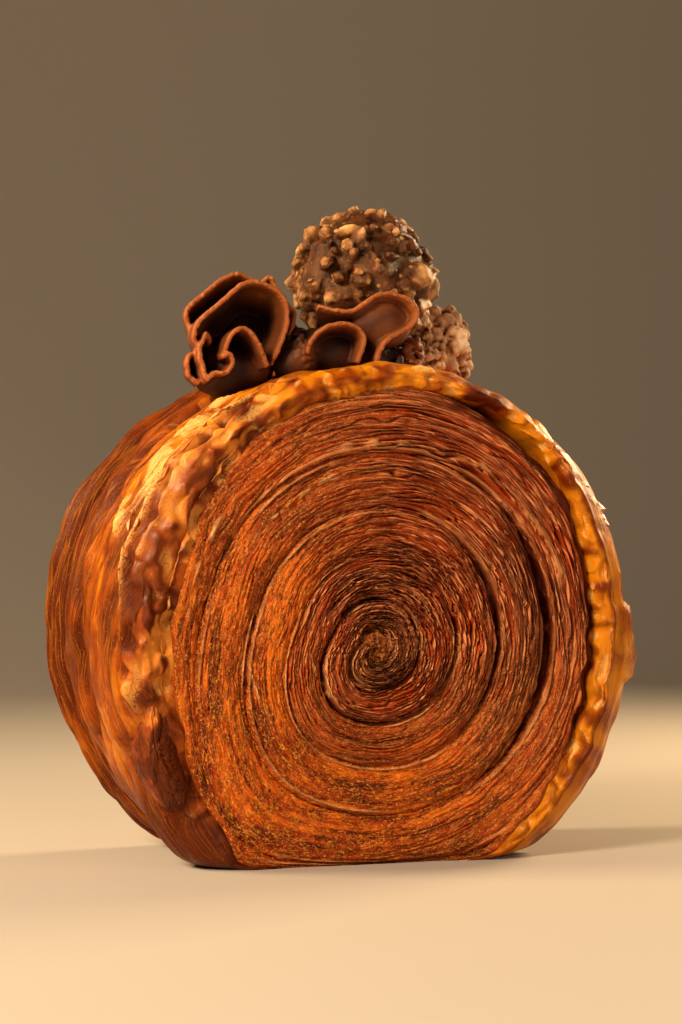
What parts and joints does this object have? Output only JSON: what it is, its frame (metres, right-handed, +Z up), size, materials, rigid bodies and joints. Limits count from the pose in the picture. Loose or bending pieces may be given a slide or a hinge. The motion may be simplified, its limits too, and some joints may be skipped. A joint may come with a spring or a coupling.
{
  "type": "spiral croissant",
  "caption": "Spiral croissant: a wheel of rolled, laminated dough standing on its edge, with piped chocolate cream, a nut-coated chocolate ball and a rough lump of cream on top.",
  "frame": {"origin": "on the flat that the roll stands on, below the middle of the show face's circle, halfway through the depth", "axes": "+Z up; the roll's axis runs along Y and its show face looks along -Y; +X is to the right as seen on the show face"},
  "size_m": [0.1108, 0.0489, 0.1284],
  "materials": {
    "baked_crust": "baked laminated dough, glossy on the skin and dry and flaky on the cut layers",
    "chocolate_cream": "smooth piped milk chocolate cream with a soft sheen",
    "chocolate_crumble": "rough, porous cream",
    "nut_chocolate": "milk chocolate coat with chopped nuts"
  },
  "bodies": {
    "root": {"spiral_roll": "baked_crust", "cream_rosette": "chocolate_cream", "cream_ruffle": "chocolate_cream", "cream_crumble": "chocolate_crumble", "nut_ball": "nut_chocolate"}
  },
  "joints": []
}
